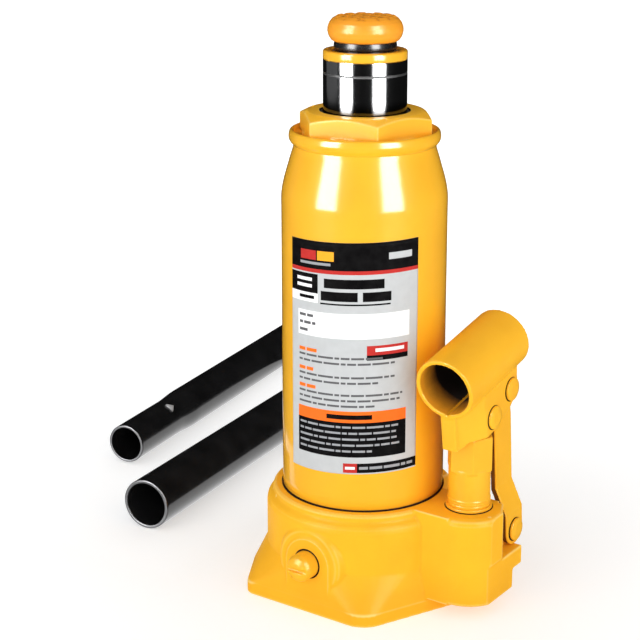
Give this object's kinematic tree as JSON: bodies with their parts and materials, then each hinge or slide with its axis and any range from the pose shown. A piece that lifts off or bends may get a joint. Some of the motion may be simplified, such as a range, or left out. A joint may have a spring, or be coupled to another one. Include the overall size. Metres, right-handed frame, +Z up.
{
  "type": "hydraulic bottle jack",
  "caption": "Upright hydraulic lifting jack with a cast foot, side pump with a tubular handle socket, extension screw saddle and two loose handle tubes.",
  "frame": {"origin": "on the ram axis, at the floor", "axes": "+Z up along the ram; +X from the ram to the pump; the release valve and the handle socket's mouth face -Y"},
  "size_m": [0.2965, 0.3461, 0.246],
  "materials": {
    "yellow_paint": "gloss",
    "saddle_paint": "gloss",
    "bare_steel": "ground",
    "hard_chrome": "mirror",
    "black_oxide": "satin black",
    "black_paint": "gloss black",
    "seal_rubber": "matte",
    "copper_washer": "satin",
    "label_film": "printed film"
  },
  "bodies": {
    "jack_body": {"base_casting": "yellow_paint", "reservoir_tank": "yellow_paint", "tank_seal": "seal_rubber", "inner_cylinder": "bare_steel", "cylinder_seal": "copper_washer", "gland_nut": "yellow_paint", "wiper_seal": "seal_rubber", "tank_label": "label_film", "filler_plug": "seal_rubber", "pump_cylinder": "yellow_paint", "pump_washer": "yellow_paint", "pump_packing": "seal_rubber", "inlet_ball": "bare_steel", "outlet_ball": "bare_steel", "valve_ball": "bare_steel", "link_foot_pin": "yellow_paint"},
    "ram": {"ram_rod": "hard_chrome", "ram_collar": "yellow_paint", "ram_piston": "bare_steel", "piston_seal": "seal_rubber"},
    "screw": {"extension_screw": "black_oxide", "screw_stop_ring": "bare_steel", "saddle": "saddle_paint"},
    "valve": {"release_valve": "yellow_paint", "valve_packing": "seal_rubber"},
    "plunger": {"pump_plunger": "bare_steel", "plunger_seal": "seal_rubber"},
    "link": {"link_strap_right": "yellow_paint", "link_strap_left": "yellow_paint"},
    "socket": {"handle_socket": "yellow_paint", "plunger_pin": "yellow_paint", "link_top_pin": "yellow_paint"},
    "wide_tube": {"handle_tube_wide": "black_paint"},
    "slim_tube": {"handle_tube_slim": "black_paint"}
  },
  "joints": [
    {"name": "ram_lift", "type": "slide", "parent": "jack_body", "child": "ram", "axis": [0, 0, 1], "range_m": [0, 0.12]},
    {"name": "screw_extend", "type": "slide", "parent": "ram", "child": "screw", "axis": [0, 0, 1], "range_m": [0, 0.055]},
    {"name": "valve_turn", "type": "hinge", "parent": "jack_body", "child": "valve", "pos_m": [0.0005, -0.04, 0.022], "axis": [0, -1, 0], "range_deg": [0, 540]},
    {"name": "link_swing", "type": "hinge", "parent": "jack_body", "child": "link", "pos_m": [0.0515, 0.022, 0.0302], "axis": [-1, 0, 0], "range_deg": [0, 2.3]},
    {"name": "handle_swing", "type": "hinge", "parent": "link", "child": "socket", "pos_m": [0.0515, 0.0168, 0.0943], "axis": [-1, 0, 0], "range_deg": [0, 40]},
    {"name": "plunger_stroke", "type": "slide", "parent": "jack_body", "child": "plunger", "axis": [0, 0, 1], "range_m": [0, 0.012]},
    {"name": "wide_tube_lift", "type": "slide", "parent": "jack_body", "child": "wide_tube", "axis": [0, 0, 1], "range_m": [0, 0.15]},
    {"name": "slim_tube_lift", "type": "slide", "parent": "jack_body", "child": "slim_tube", "axis": [0, 0, 1], "range_m": [0, 0.15]}
  ],
  "couplings": [
    {"joint": "link_swing", "follows": "handle_swing", "ratio": 0.0555},
    {"joint": "plunger_stroke", "follows": "handle_swing", "m_per_rad": 0.01685}
  ]
}
